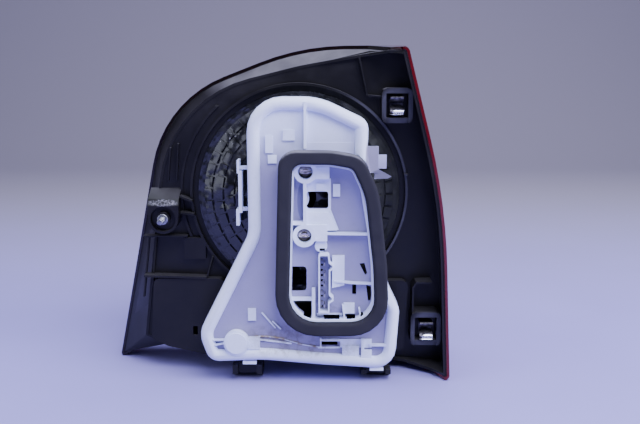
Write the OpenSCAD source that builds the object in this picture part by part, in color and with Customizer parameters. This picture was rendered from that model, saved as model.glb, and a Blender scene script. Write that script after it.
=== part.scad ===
// Left-hand rear lamp of a small hatchback, seen from the car-body side.
// X runs towards the fender, Y from the car body out to the lens, Z up; millimetres.

/* [Lamp outline] */
// width across the lens outline
lamp_w = 342; // [334:1:350]
// height of the lens outline
lamp_h = 320; // [312:1:328]
// how far the lens stands out past its glued joint
lens_bulge = 37; // [30:1:45]
// how far the fender-side edge reaches back past that joint
flank_reach = 72; // [64:1:76]

/* [Walls] */
// thickness of the lens
lens_wall = 2.6; // [2.2:0.1:3]
// thickness of the housing walls
body_wall = 2.5; // [2:0.1:3]
// width of the glue line between lens and housing
glue_w = 0.8; // [0.6:0.1:1.2]

/* [Reflectors] */
// radius of the round opening for the upper reflector
bowl_r = 98; // [94:0.5:99]
// how far the upper reflector bulges through that opening
bowl_out = 31; // [27:0.5:33]
// spacing of the rings of moulded blocks on its back
facet_pitch = 10.8; // [9:0.2:12]
// mouth radius of the lower reflectors
lower_bowl_r = 23; // [20:0.5:23.5]

/* [Bulb carrier] */
// distance from the housing panel to the carrier plate
carrier_out = 42.5; // [41:0.5:46]
// thickness of the carrier plate
plate_t = 2.5; // [2:0.1:3]
// width of the rounded rim round the carrier
rim_w = 12; // [10:0.5:13]
// height of that rim above the plate
rim_h = 5.7; // [4.5:0.1:6.5]
// height of the tub wall inside the gasket
tub_h = 13; // [11:0.5:15]
// width of the foam gasket
gasket_w = 12.5; // [11:0.5:13.5]
// thickness of the foam gasket
gasket_t = 17; // [15:0.5:20]

/* [Connector and bulbs] */
// spacing of the connector blades
blade_pitch = 10; // [9:0.25:10.5]
// diameter of a bulb's metal base
bulb_base_d = 15; // [14:0.1:15.5]
// largest diameter of a bulb's glass
bulb_glass_d = 26.2; // [22:0.2:27]

/* [Fixings] */
// thread diameter of the side stud
stud_d = 6; // [5:0.5:7]
// free length of the side stud
stud_len = 14; // [10:0.5:18]
// head diameter of the carrier screws
screw_head_d = 12.4; // [10:0.2:12.8]

/* [Hidden] */
$fn = 48;
fit = 0.1;
slide_fit = 0.3;
kx = lamp_w / 342;
kz = lamp_h / 320;

// levels along Y, from the lens to the gasket face
joint_y = 30;
outline_y = 32;
lens_y = joint_y + lens_bulge;
trim_y = 34;
panel_t = 3;
panel_back = -2;
panel_front = panel_back + panel_t;
box_back = -12;
plate_front = panel_back - carrier_out;
plate_back = plate_front - plate_t;
seat_h = 3;
seat_y = plate_back - seat_h;
tub_y = plate_back - tub_h;
gasket_y = seat_y - gasket_t;
skirt_y = plate_front + 13.5;

// places in the X and Z plane
bowl_at = [18.5 * kx, 178.6 * kz];
turn_bulb_at = [-40 * kx, 42 * kz];
fog_bulb_at = [86 * kx, 48 * kz];
screw_high = [25.7 * kx, 204.7 * kz];
screw_low = [24.5 * kx, 145.4 * kz];
stud_at = [-111 * kx, 155.5 * kz];
blade_x = 43.2 * kx;
blade_mid = 99 * kz;
foot_left = -31 * kx;
foot_right = 93 * kx;
// towers for the body pins: sides in X, sides in Z, level of the open end
upper_tower = [[97, 126], [246.5, 279.5], -22];
lower_tower = [[127.5, 157], [29, 63], -24];
pocket_deep = 15;
pocket_wall = 4;
pocket_end = 5;
centre_shift = [-2.13 * kx, -(lens_y + gasket_y) / 2, 0];

// round sizes that follow from the driving ones
glue_in = lens_wall + glue_w;
body_in = glue_in + fit;
bowl_wall = 2.2;
bowl_curve = (pow(bowl_r - 7, 2) + pow(bowl_out - 9, 2)) / (2 * (bowl_out - 9));
socket_r = bulb_base_d / 2 + 0.4;
bulb_hole_r = 17;
low_r = lower_bowl_r * kz;
seat_gap = 1.5;
trim_gap = 1.2;
glue_gap = 0.15;
boss_r = 6;
strip_t = 0.8;
screw_shank_r = 2.4;
stud_foot_y = -24;
collar_t = 2.5;

black = [0.07, 0.07, 0.09];
lens_red = [0.42, 0.03, 0.07];
white_plastic = [0.86, 0.86, 0.95];
foam = [0.2, 0.2, 0.23];
bright = [0.8, 0.8, 0.82];
steel = [0.62, 0.6, 0.56];
clear_glass = [0.85, 0.9, 0.95, 0.45];
glue_grey = [0.16, 0.15, 0.16];

// one row per corner: lens edge x and z, housing panel edge x and z,
// rounding radius, steps in the rounding, share of the fender flank
outline = [
    [-170, -2.2, -136, 33, 2.5, 2, 0],
    [-116.5, 265.3, -107.4, 268.4, 118, 9, 0],
    [19.6, 318.4, 20, 300, 240, 5, 0],
    [86, 319.5, 84, 311, 0, 0, 0.12],
    [110, 320, 104, 316.5, 0, 0, 0.6],
    [127.5, 320.3, 123.7, 319.6, 5, 3, 1],
    [164.7, 173.3, 161.1, 173.1, 600, 6, 1],
    [173, 0, 169.2, 0, 4, 3, 1],
    [150, 0.8, 147.4, 2.4, 0, 0, 0.6],
    [126, 3, 121, 8, 0, 0, 0.15],
    [60, 9, 60, 14, 0, 0, 0],
    [-75, 12, -75, 15, 0, 0, 0],
    [-141, 14.5, -112, 24, 0, 0, 0]
];

carrier_corners = [
    [-28, 272.2, 32, 6], [38, 272.2, 68, 5], [83.2, 250.4, 11, 3], [82.5, 221, 60, 2],
    [103.5, 96, 25, 3], [114, 74, 16, 3], [110, 14.5, 20, 5], [41, 19, 80, 1],
    [-16, 24, 80, 1], [-66, 22, 13, 4], [-76, 50, 24, 5], [-27.5, 146, 30, 4]
];

gasket_corners = [
    [1.8, 224.8, 16, 5], [50, 224.4, 60, 2], [77, 219.8, 20, 5], [92.5, 187, 80, 3],
    [100.5, 118, 150, 2], [103.3, 52.5, 34, 6], [-3.2, 52, 38, 6]
];

box_corners = [
    [-128, 33, 3, 1], [-124, 94, 5, 2], [-58, 94, 6, 2], [-40, 70, 6, 2], [75, 70, 6, 2],
    [94, 92, 6, 2], [126, 92, 6, 2], [122, 21, 4, 2], [0, 15.5, 0, 0], [-75, 16.5, 0, 0],
    [-112, 25, 6, 1]
];

function unit(v) = v / norm(v);
function turned(v, a) = [v[0] * cos(a) - v[1] * sin(a), v[0] * sin(a) + v[1] * cos(a)];
function xz(p) = [p[0], p[1]];
function after(c, i) = c[(i + 1) % len(c)];
function before(c, i) = c[(i + len(c) - 1) % len(c)];

// rounding of one corner b between its neighbours a and c
function bend(a, b, c, r, steps) =
    r == 0 ? [b] :
    let (u = unit(a - b), v = unit(c - b), half = acos(u * v) / 2,
         mid = b + unit(u + v) * r / sin(half), start = b + u * r / tan(half) - mid,
         way = u[0] * v[1] - u[1] * v[0] > 0 ? -1 : 1)
    [for (k = [0:steps]) mid + turned(start, way * (180 - 2 * half) * k / steps)];

function rounded(c) =
    [for (i = [0:len(c) - 1]) each bend(xz(before(c, i)), xz(c[i]), xz(after(c, i)), c[i][2], c[i][3])];

// the same corners, moved in by d along their bisectors
function moved_in(c, d) =
    [for (i = [0:len(c) - 1])
        let (b = xz(c[i]), u = unit(xz(before(c, i)) - b), v = unit(xz(after(c, i)) - b),
             half = acos(max(-1, u * v)) / 2, way = unit(v - u),
             hollow = u[0] * v[1] - u[1] * v[0] < 0,
             r = c[i][2] == 0 ? 0 : max(0.6, hollow ? c[i][2] + d : c[i][2] - d))
        [b[0] + way[1] * d / sin(half), b[1] - way[0] * d / sin(half), r, c[i][3]]];

function scaled(c) = [for (q = c) [q[0] * kx, q[1] * kz, q[2], q[3]]];
function loop(c, d = 0) = rounded(moved_in(scaled(c), d));
// inner edge of the gasket, with softer corners than its width alone would leave
function tub_edge(d = 0) =
    rounded(moved_in([for (q = moved_in(scaled(gasket_corners), gasket_w)) [q[0], q[1], max(q[2], 9), q[3]]], d));
function mix(a, b, t) = a + (b - a) * t;

// lens edge outline, panel edge outline and flank share, point for point
function lens_edge(d) = loop([for (q = outline) [q[0], q[1], q[4], q[5]]], d);
function panel_edge(d) = loop([for (q = outline) [q[2], q[3], q[4], q[5]]], d);
flank = [for (q = outline) for (k = [0:q[5]]) q[6]];

// a row of points that follows the lens wall, at y0 on the plain sides and y1 on the flank
function wall_row(d, y0, y1) =
    let (a = lens_edge(d), b = panel_edge(d))
    [for (i = [0:len(flank) - 1])
        let (y = mix(y0, y1, flank[i]), lean = flank[i] * max(0, outline_y - y) / outline_y, p = mix(a[i], b[i], lean))
        [p[0], y, p[1]]];

// a row that leaves the lens wall and ends on the panel edge, except on the flank
function body_row(d, y0, y1) =
    let (inner = panel_edge(d - body_in), wall = wall_row(d, y0, y1))
    [for (i = [0:len(flank) - 1])
        let (p = mix(inner[i], [wall[i][0], wall[i][2]], flank[i]))
        [p[0], wall[i][1], p[1]]];

// skin through closed rows; where cap is given, that row and the next are closed by a fan
module skin(rows, cap = -1, tips = []) {
    n = len(rows[0]);
    m = len(rows);
    strips = [for (k = [0:m - 1]) if (k != cap) for (i = [0:n - 1])
        let (j = (i + 1) % n, h = (k + 1) % m)
        each [[k * n + i, h * n + j, k * n + j], [k * n + i, h * n + i, h * n + j]]];
    fans = cap < 0 ? [] : [for (i = [0:n - 1])
        let (j = (i + 1) % n)
        each [[cap * n + i, m * n, cap * n + j], [(cap + 1) * n + j, m * n + 1, (cap + 1) * n + i]]];
    polyhedron([for (r = rows) each r, each tips], [each strips, each fans], convexity = 8);
}

module placed() {
    translate(centre_shift)
        children();
}

// flat piece between two levels along Y
module sheet(y0, y1, points) {
    translate([0, y1, 0])
        rotate([90, 0, 0])
            linear_extrude(y1 - y0)
                polygon(points);
}

module ring(y0, y1, outside, inside) {
    difference() {
        sheet(y0, y1, outside);
        sheet(y0 - 1, y1 + 1, inside);
    }
}

// block given by its sides, which move with the lamp's width and height
module block(x, z, y) {
    translate([x[0] * kx, y[0], z[0] * kz])
        cube([(x[1] - x[0]) * kx, y[1] - y[0], (z[1] - z[0]) * kz]);
}

// flat piece with its own outline, each corner [x, z] or [x, z, radius], which moves in the same way
module shape(points, y) {
    sheet(y[0], y[1], rounded(scaled([for (p = points) [p[0], p[1], len(p) > 2 ? p[2] : 0, 2]])));
}

function soft(x, z, r) = [[x[0], z[0], r], [x[1], z[0], r], [x[1], z[1], r], [x[0], z[1], r]];

module rod(at, r, y0, y1) {
    translate([at[0], y1, at[1]])
        rotate([90, 0, 0])
            cylinder(r = r, h = y1 - y0);
}

// shape turned about an axis along Y; its profile is [radius, level]
module spun(at, profile) {
    translate([at[0], 0, at[1]])
        rotate([-90, 0, 0])
            rotate_extrude($fn = 96)
                polygon(profile);
}

// thin rib between two points of the X and Z plane
module rib(a, b, t, y) {
    run = [(b[0] - a[0]) * kx, (b[1] - a[1]) * kz];
    translate([a[0] * kx, y[0], a[1] * kz])
        rotate([0, -atan2(run[1], run[0]), 0])
            translate([0, 0, -t / 2])
                cube([norm(run), y[1] - y[0], t]);
}

// Outer skin

module outer_lens() {
    w = lens_wall;
    front = [for (q = [[0, 0.49], [1.5, 0.68], [5, 0.81], [12, 0.905]])
        let (y = joint_y + lens_bulge * q[1]) [q[0], y]];
    crown = [[0.8, 0.962], [0.5, 0.992], [0.2, 1]];
    mid = [10 * kx, 0, 165 * kz];
    outside = [
        wall_row(0, joint_y, joint_y - flank_reach),
        wall_row(0, outline_y, outline_y - flank_reach * 0.9),
        for (q = front) wall_row(q[0], q[1], q[1]),
        for (q = crown) shrunk(wall_row(12, 0, 0), mid, q[0], joint_y + lens_bulge * q[1])
    ];
    inside = [
        for (k = [2:-1:0]) shrunk(wall_row(12 + w, 0, 0), mid, crown[k][0], joint_y + lens_bulge * crown[k][1] - w),
        for (k = [3:-1:0]) wall_row(front[k][0] + w, front[k][1] - w, front[k][1] - w),
        wall_row(w, outline_y, outline_y - flank_reach * 0.9),
        wall_row(w, joint_y, joint_y - flank_reach)
    ];
    tip = [mid[0], lens_y, mid[2]];
    color(lens_red)
        placed()
            skin(concat(outside, inside), len(outside) - 1, [tip, tip - [0, w, 0]]);
}

function shrunk(row, mid, s, y) = [for (p = row) [mix(mid[0], p[0], s), y, mix(mid[2], p[2], s)]];

module lens_seal() {
    near = joint_y + 1;
    back = joint_y - flank_reach + 1;
    in = lens_wall + glue_gap;
    out = body_in - glue_gap - fit;
    color(glue_grey)
        placed()
            skin([wall_row(in, near, back), wall_row(in, near + 8, back + 8),
                  wall_row(out, near + 8, back + 8), wall_row(out, near, back)]);
}

// Housing

module body_skirt() {
    far_y = joint_y + 10;
    levels = [[panel_back - 1, joint_y + 1 - flank_reach], [0, joint_y + 6 - flank_reach]];
    out = body_in;
    in = body_in + body_wall;
    skin([
        for (q = levels) body_row(out, q[0], q[1]),
        wall_row(out, joint_y - 2, joint_y + 10 - flank_reach),
        wall_row(out, far_y, far_y),
        wall_row(in, far_y, far_y),
        wall_row(in, joint_y - 2, joint_y + 10 - flank_reach),
        for (k = [1, 0]) body_row(in, levels[k][0], levels[k][1])
    ]);
}

function panel_points() =
    let (edge = panel_edge(body_wall / 2), wall = wall_row(body_in + body_wall / 2, -0.5, -0.5))
    [for (i = [0:len(flank) - 1]) flank[i] > 0 ? [wall[i][0], wall[i][2]] : edge[i]];

module tower_pocket(at) {
    block([at[0][0] + pocket_wall, at[0][1] - pocket_wall], [at[1][0] + pocket_end, at[1][1] - pocket_end],
        [at[2] - 1, at[2] + pocket_deep]);
}

// tower for a body pin, open towards the car body
module pin_tower(at) {
    y0 = at[2];
    difference() {
        shape(soft(at[0], at[1], 5), [y0, panel_back + 0.5]);
        tower_pocket(at);
        block([at[0][0] + pocket_wall, at[0][1] - pocket_wall], [at[1][0] - 1, at[1][0] + pocket_end + 1],
            [y0 - 1, y0 + 3]);
    }
}

// bracket for the side stud: a top that slopes down towards the car body, over a round cup
module stud_bracket() {
    y0 = stud_foot_y;
    difference() {
        union() {
            block([-125.5, -96], [158, 187], [y0, panel_back + 0.5]);
            rod(stud_at, 14.4, y0, panel_back + 0.5);
        }
        for (q = [[172.8, 24], [168.4, 58]])
            translate([-140 * kx, y0, q[0] * kz])
                rotate([q[1], 0, 0])
                    translate([0, -10, 0])
                        cube([60, 60, 30]);
        rod(stud_at, 12, y0 - 1, y0 + 6);
    }
    rod(stud_at, 6.5, y0, panel_back + 0.5);
    rib([-97, 176], [-82, 170], 2, [-14, panel_back + 0.5]);
    rib([-97, 160], [-82, 158], 2, [-14, panel_back + 0.5]);
}

// latch receiver under the carrier, which also is a foot
module foot(x, rise) {
    tip = plate_front + slide_fit;
    for (q = [[-14, 28, tip + 6], [-14, 5, tip], [9, 5, tip]])
        translate([x + q[0], 0, 0])
            rotate([90, 0, 90])
                linear_extrude(q[1])
                    polygon([[-8, 0], [-25, 0], [q[2], 8], [q[2], rise], [q[2] + 5, rise], [-24, 7], [box_back, 9],
                        [box_back, 21.5 * kz], [-8, 21.5 * kz]]);
}

module carrier_seat() {
    difference() {
        intersection() {
            ring(skirt_y - 9, box_back + 0.5, loop(carrier_corners, 3.4), loop(carrier_corners, 5.8));
            block([-90, 130], [0, 66], [skirt_y - 10, 0]);
        }
        for (at = [turn_bulb_at, fog_bulb_at])
            rod(at, bulb_glass_d / 2 + seat_gap, skirt_y - 10, 0);
    }
}

// low ridge outside the collar, on the side away from the fender
module outer_ridge() {
    intersection() {
        spun(bowl_at, [[bowl_r + 15, -5], [bowl_r + 17.5, -5], [bowl_r + 17.5, -1], [bowl_r + 15, -1]]);
        block([-110, -44], [130, 262], [-6, 0]);
    }
}

module panel_ribs() {
    y = [-11, panel_back + 0.5];
    rib([76, 308], [84, 272], 1.6, y);
    rib([84, 272], [98, 271], 1.6, y);
    rib([-133, 97], [-72, 95], 2, [-14, panel_back + 0.5]);
    rib([-133, 136], [-90, 136], 1.6, y);
    rib([-72, 95], [-66, 116], 1.6, y);
    rib([132.6, 91.4], [148, 92], 1.8, [-20, panel_back + 0.5]);
    rib([129.6, 86.4], [133, 92], 1.8, [-20, panel_back + 0.5]);
    rib([129.8, 60], [129.8, 87.4], 1.8, [-20, panel_back + 0.5]);
    rib([88, 203], [104, 199], 1.8, [-38, panel_back + 0.5]);
    rib([104, 199], [124, 196], 1.6, y);
    for (q = [[-128.4, 134, -135.6, 74], [-121.2, 134, -127, 84], [-105, 222, -108.2, 190], [-97.4, 226, -100, 190]])
        rib([q[0], q[1]], [q[2], q[3]], 1.4, [-6, panel_back + 0.5]);
    block([-94, -73], [113, 134], [-8, panel_back + 0.5]);
}

module housing() {
    color(black)
        placed() {
            body_skirt();
            difference() {
                union() {
                    sheet(panel_back, panel_front, panel_points());
                    sheet(box_back, panel_front, loop(box_corners));
                    rod(bowl_at, bowl_r + 7.5, panel_back - 6, panel_front);
                    outer_ridge();
                }
                rod(bowl_at, bowl_r + 5, panel_back - 7, panel_back);
                rod(bowl_at, bowl_r, panel_back - 8, panel_front + 1);
                sheet(box_back + body_wall, panel_front + 1, loop(box_corners, body_wall));
                rod(turn_bulb_at, bulb_hole_r, box_back - 1, 0);
                rod(fog_bulb_at, bulb_hole_r, box_back - 1, 0);
                block([-86.8, -82.2], [36.5, 45.5], [box_back - 1, 0]);
                tower_pocket(upper_tower);
                tower_pocket(lower_tower);
            }
            difference() {
                union() {
                    panel_ribs();
                    pin_tower(upper_tower);
                    pin_tower(lower_tower);
                    stud_bracket();
                }
                rod(bowl_at, bowl_r + 5, panel_back - 40, panel_front + 1);
                rod(stud_at, stud_d / 2 - 0.45, stud_foot_y - 1, stud_foot_y + 9);
            }
            carrier_seat();
            foot(foot_left, 17);
            foot(foot_right, 12);
        }
}

// Reflectors and trim

// level of the upper reflector's back at radius r
function bowl_y(r) = panel_back - bowl_out + bowl_curve - sqrt(bowl_curve * bowl_curve - r * r);

// rings of moulded blocks round the bowl, each block flat on the curve of the bowl
module facet_rings() {
    rows = floor((bowl_r - 50) / facet_pitch);
    w = facet_pitch - 2.8;
    for (k = [0:rows - 1]) {
        r = bowl_r - 7.6 - w / 2 - k * facet_pitch;
        count = round(2 * PI * r / (facet_pitch * 1.12));
        long = 2 * PI * r / count - 2.2;
        for (i = [0:count - 1]) {
            a = (i + 0.5) * 360 / count;
            if (cos(a) * r < -44 || cos(a) * r > 66)
                translate([bowl_at[0], 0, bowl_at[1]])
                    rotate([0, -a, 0])
                        translate([r, bowl_y(r), 0])
                            rotate([0, 0, asin(r / bowl_curve)])
                                translate([-w / 2, -1.5, -long / 2])
                                    cube([w, bowl_wall + 0.7, long]);
        }
    }
}

module upper_reflector() {
    curve = [for (k = [0:6]) let (r = mix(bowl_r - 7, bulb_hole_r, k / 6)) [r, bowl_y(r)]];
    inner = [for (k = [6:-1:0]) curve[k] + [0, bowl_wall]];
    mouth = [bowl_r - 4, trim_y - fit];
    rim = [mouth + [2.5, 0], [bowl_r - 1.5, 3.6], [bowl_r + 6, 3.6], [bowl_r + 6, panel_front + fit],
        [bowl_r - 0.5, panel_front + fit], [bowl_r - 0.5, -5], [bowl_r - 3.5, -5], [bowl_r - 3.5, -9], [bowl_r - 7, -9]];
    color(black)
        placed()
            difference() {
                union() {
                    spun(bowl_at, [mouth, each rim, each curve, each inner]);
                    facet_rings();
                    for (at = [screw_high, screw_low])
                        rod(at, boss_r, plate_front + fit, bowl_y(30) + 1);
                }
                for (at = [screw_high, screw_low])
                    rod(at, screw_shank_r + 0.05, plate_front - 1, plate_front + 9);
            }
}

module lower_bowl(at) {
    y0 = box_back + body_wall + fit;
    spun(at, [[bulb_hole_r, y0], [bulb_hole_r + 2.5, y0], [low_r * 0.84, 4], [low_r + 1, trim_y - fit],
        [low_r - 1, trim_y - fit], [low_r * 0.84 - 2, 4.6]]);
}

module lower_reflector() {
    color(bright)
        placed() {
            lower_bowl(turn_bulb_at);
            lower_bowl(fog_bulb_at);
            difference() {
                block([-40, 86], [32, 58], [trim_y - 6, trim_y - 4]);
                rod(turn_bulb_at, low_r - 0.6, trim_y - 7, trim_y - 3);
                rod(fog_bulb_at, low_r - 0.6, trim_y - 7, trim_y - 3);
            }
        }
}

module inner_bezel() {
    edge = [for (p = wall_row(body_in + body_wall + trim_gap, trim_y, trim_y)) [p[0], p[2]]];
    color(steel)
        placed()
            difference() {
                union() {
                    sheet(trim_y, trim_y + 2, edge);
                    rod(bowl_at, bowl_r + 1, trim_y, trim_y + 6);
                }
                rod(bowl_at, bowl_r - 5, trim_y - 1, trim_y + 7);
                rod(turn_bulb_at, low_r - 1, trim_y - 1, trim_y + 7);
                rod(fog_bulb_at, low_r - 1, trim_y - 1, trim_y + 7);
            }
}

// Bulb carrier: one white moulding with rim, tub, connector box, bosses, ribs and latches

module carrier_rim() {
    s = skirt_y;
    round_top = [for (a = [20:28:160]) [rim_w / 2 + cos(a) * rim_w / 2, plate_back - rim_h * sin(a)]];
    profile = [
        [0, plate_back], [0, s], [2.5, s], [2.5, plate_front], [rim_w, plate_front],
        each round_top
    ];
    difference() {
        skin([for (q = profile) [for (p = loop(carrier_corners, q[0])) [p[0], q[1], p[1]]]]);
        sheet(seat_y - rim_h, seat_y, loop(gasket_corners, -0.8));
    }
}

// box for the plug, with two keys on its fender side
plug_outside = [[37.6, 72.6], [47.8, 72.6], [47.8, 82], [51.6, 84.6], [51.6, 87.4], [48.6, 90.4], [48.6, 112.8],
    [51.8, 115.6], [51.8, 118.4], [48.4, 121], [47.6, 127.8], [46, 129], [39, 129], [37.6, 127.6]];
plug_inside = [[38.9, 74.2], [46.5, 74.2], [46.5, 83], [50.2, 85.4], [50.2, 86.8], [47.2, 90], [47.2, 113.4],
    [50.4, 116.2], [50.4, 117.8], [47, 120.4], [46.3, 127.2], [39.6, 127.2], [38.9, 126.6]];

module connector_box() {
    shape(plug_outside, [plate_back - 11.5, plate_back + 0.5]);
}

module screw_boss(at) {
    rod(at, screw_head_d / 2 + 4.4, plate_back - 8, plate_back + 0.5);
}

module carrier_openings() {
    y = [tub_y - 1, plate_front + 1];
    intersection() {
        union() {
            shape(soft([26.8, 46.7], [170, 186], 2), y);
            shape([[8, 91], [26.4, 91, 3], [26.4, 114.8, 3], [8, 114.8]], y);
            shape([[8, 60], [31, 60], [31, 81.6, 1], [14.5, 81.6, 2], [8, 74]], y);
            shape(soft([69.3, 73.1], [87.8, 97.6], 0.6), y);
            shape([[82.4, 97], [89.4, 94.4], [89.4, 81.6], [84.3, 81.6]], y);
            shape([[75.9, 117.5], [80.6, 118.2], [83.3, 107.9], [81.3, 106.5]], y);
            shape(soft([38.5, 43.8], [130, 133.2], 0.6), y);
        }
        sheet(y[0] - 1, y[1] + 1, tub_edge(2.1));
    }
    // the lowest openings also cut the foot of the tub's wall
    low = [plate_back - 9, plate_front + 1];
    intersection() {
        union() {
            block([13, 30.6], [58, 70], low);
            shape([[41.8, 68.6], [57.4, 68.6], [57.4, 61], [43.9, 61]], low);
            block([64, 72.3], [61, 68.4], low);
            shape([[76.8, 70.6], [90, 70.6], [90, 66], [79, 61], [76.8, 61]], low);
        }
        sheet(low[0] - 1, low[1] + 1, tub_edge(-2.8));
    }
    shape(plug_inside, [tub_y - 1, plate_back + 1.2]);
    for (k = [-2:2])
        translate([blade_x - 0.7, plate_back, blade_z(k) - 1.7])
            cube([1.4, plate_t + 1, 3.4]);
    for (k = [-2.3:0.5:2.2])
        translate([blade_x - 3.4, plate_back, blade_z(k) - 1.1])
            cube([2, plate_t + 1, 2.2]);
    block([40.4, 55.6], [37.6, 42.6], y);
    block([15.4, 23.6], [159, 194], [plate_back - 10, plate_back + 1.4]);
}

module tray_details() {
    y = [plate_back - 4.2, plate_back + 0.5];
    low = [plate_back - 1.8, plate_back + 0.5];
    rib([25.4, 226], [25.4, 268], 2.4, [plate_back - 6, plate_back + 0.5]);
    block([-11, -4], [221.5, 237], low);
    block([5, 16], [233, 242.5], low);
    block([-8.8, -0.6], [212, 219.6], low);
    block([-29, -21.4], [62.6, 74.6], low);
    rib([-16, 70.5], [-3, 55], 1.4, low);
    rib([-6, 62], [2, 54], 1.4, low);
    rib([-19, 44], [12, 40], 1.6, low);
    rib([12, 40], [37, 36], 1.6, low);
    rib([37, 36], [58, 36], 1.6, low);
    rib([-66, 44], [-51, 44], 1.4, y);
    rib([-66, 38], [-51, 41], 1.4, y);
    rod(turn_bulb_at, 12, plate_back - 7, plate_back + 0.5);
    rod(turn_bulb_at, 10, plate_back - 8.4, plate_back + 0.5);
    block([-29, -18], [35, 47], y);
    block([-42, -40.4], [26, 32], y);
    block([39, 40.4], [36, 46], y);
    block([39, 58], [43, 45], y);
    block([58, 88], [36, 44.4], low);
    block([60, 76], [26, 38], [plate_back - 3, plate_back + 0.5]);
    block([78, 81], [18, 45], y);
    block([81, 88], [24, 34], y);
    block([86, 108], [38, 40], y);
}

module tub_details() {
    high = [plate_back - 7.6, plate_back + 0.5];
    mid = [plate_back - 4.6, plate_back + 0.5];
    low = [plate_back - 2, plate_back + 0.5];
    // the two screw bosses have an arm each, and share a rib and a ramp beside the deep groove
    block([25, 47.6], [198.2, 209.2], high);
    block([25, 45.7], [140.4, 155.7], high);
    block([23.6, 26.6], [156, 198], high);
    block([12, 24], [155.6, 158.6], high);
    shape([[26, 150], [26, 198], [49, 198], [49, 169], [56.4, 150]], low);
    shape([[26, 150], [26, 167], [47, 167], [55, 150]], mid);
    block([35.2, 43.1], [187, 193.3], [plate_back - 3.4, plate_back]);
    block([50.9, 57.5], [181.3, 192.9], low);
    rib([44, 147.4], [92, 146.6], 2, high);
    rod([40 * kx, 135.4 * kz], 5.8, plate_back - 4.6, plate_back + 0.5);
    // ledges and walls round the lower openings
    block([8, 31.6], [83, 86], [plate_back - 5, plate_back + 0.5]);
    block([31.4, 34.6], [55, 95], high);
    shape([[50.4, 95.2], [61.8, 97.9], [61.8, 126], [50.4, 126]], mid);
    rib([52, 101.9], [71.1, 99.9], 1.5, [plate_back - 6, plate_back + 0.5]);
    rib([71.1, 99.9], [96, 99.1], 1.5, [plate_back - 6, plate_back + 0.5]);
    block([61.2, 71.4], [70.5, 80.2], mid);
    rib([60.4, 79], [63, 58], 1.6, high);
    rib([75.8, 76], [78.4, 58], 1.6, high);
    block([36, 60], [67.6, 70], low);
}

// tabs that snap over the housing's receivers, and the two side arms
module carrier_latches() {
    for (q = [[foot_left + 3, 19.5], [foot_right, 13]]) {
        translate([q[0] - 6.5, plate_back - 0.5, q[1] * kz])
            cube([13, 2.9, 9]);
        translate([q[0] - 6.5, plate_back - 2, q[1] * kz])
            cube([13, 2, 3]);
    }
    side = [skirt_y - 12, skirt_y + 4];
    block([-37.8, -35.6], [202, 214], side);
    block([-36.6, -33.4], [165, 204], [side[0], side[1] - 2]);
    block([-39, -36], [153, 168], side);
    block([-36, -25.6], [205, 208], [skirt_y - 6, skirt_y]);
    block([-36, -25.6], [166, 169], [skirt_y - 6, skirt_y]);
    block([80.5, 92.6], [203, 227], [plate_back, plate_back + 7]);
    block([92, 100], [207, 219.6], [plate_back, plate_back + 3]);
}

module bulb_socket(at) {
    difference() {
        rod(at, socket_r + 2.5, plate_front - 0.5, plate_front + 13);
        rod(at, socket_r, plate_front, plate_front + 14);
        translate([at[0] - 20, plate_front + 8, at[1] - 1.4])
            cube([40, 10, 2.8]);
    }
}

module bulb_carrier() {
    color(white_plastic)
        placed()
            difference() {
                union() {
                    carrier_rim();
                    sheet(plate_back, plate_front, loop(carrier_corners, rim_w - 1));
                    ring(seat_y, plate_back + 0.5, loop(gasket_corners, 0.8), tub_edge(1.7));
                    intersection() {
                        union() {
                            connector_box();
                            screw_boss(screw_high);
                            screw_boss(screw_low);
                            tub_details();
                        }
                        sheet(tub_y, 0, tub_edge(0.6));
                    }
                    ring(tub_y, plate_back + 0.5, tub_edge(fit), tub_edge(1.7));
                    intersection() {
                        tray_details();
                        sheet(tub_y, 0, loop(carrier_corners, 4));
                    }
                    carrier_latches();
                    for (at = [bowl_at, turn_bulb_at, fog_bulb_at])
                        bulb_socket(at);
                }
                carrier_openings();
                shape([[28, 231], [28, 263], [46, 260.5], [60, 254], [69, 245], [69, 231]],
                    [plate_back - 1, plate_back + 1.2]);
                for (at = [screw_high, screw_low]) {
                    rod(at, screw_head_d / 2 + 0.5, plate_back - 9, plate_back);
                    rod(at, screw_shank_r + 0.2, plate_back - 1, plate_front + 1);
                }
                for (route = [each contact_routes, earth_run])
                    strip(route, 4.4, [plate_front, plate_front + strip_t + 0.3]);
            }
}

module carrier_gasket() {
    color(foam)
        placed() {
            ring(gasket_y + 1.4, seat_y, loop(gasket_corners), tub_edge());
            ring(gasket_y, gasket_y + 1.4, loop(gasket_corners, 1.2), tub_edge(-1.2));
        }
}

// Contact strips stamped from sheet, each with a blade in the connector box

function blade_z(k) = blade_mid + k * blade_pitch;
bulb_left = 5.2;
past_boss = screw_low[0] + boss_r + 2.7;
contact_routes = [
    [[blade_x, blade_z(2)], [past_boss, blade_z(2)], [past_boss, 159 * kz],
        [bowl_at[0] - bulb_left, 159 * kz], [bowl_at[0] - bulb_left, bowl_at[1]]],
    [[blade_x, blade_z(1)], [blade_x + 16, blade_z(1)], [blade_x + 16, 166.4 * kz],
        [bowl_at[0] + 3, 166.4 * kz], [bowl_at[0] + 3, bowl_at[1]]],
    [[blade_x, blade_z(0)], [blade_x + 17, blade_z(0)], [blade_x + 17, 54 * kz],
        [fog_bulb_at[0], 54 * kz], [fog_bulb_at[0], fog_bulb_at[1] + 3]],
    [[blade_x, blade_z(-1)], [blade_x - 10, blade_z(-1)], [blade_x - 10, 57.4 * kz],
        [turn_bulb_at[0], 57.4 * kz], [turn_bulb_at[0], turn_bulb_at[1] + 2]],
    [[blade_x, blade_z(-2)], [blade_x - 4.4, blade_z(-2)], [blade_x - 4.4, 47 * kz],
        [turn_bulb_at[0] + 5, 47 * kz], [turn_bulb_at[0] + 5, turn_bulb_at[1] - 2]]
];

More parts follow.
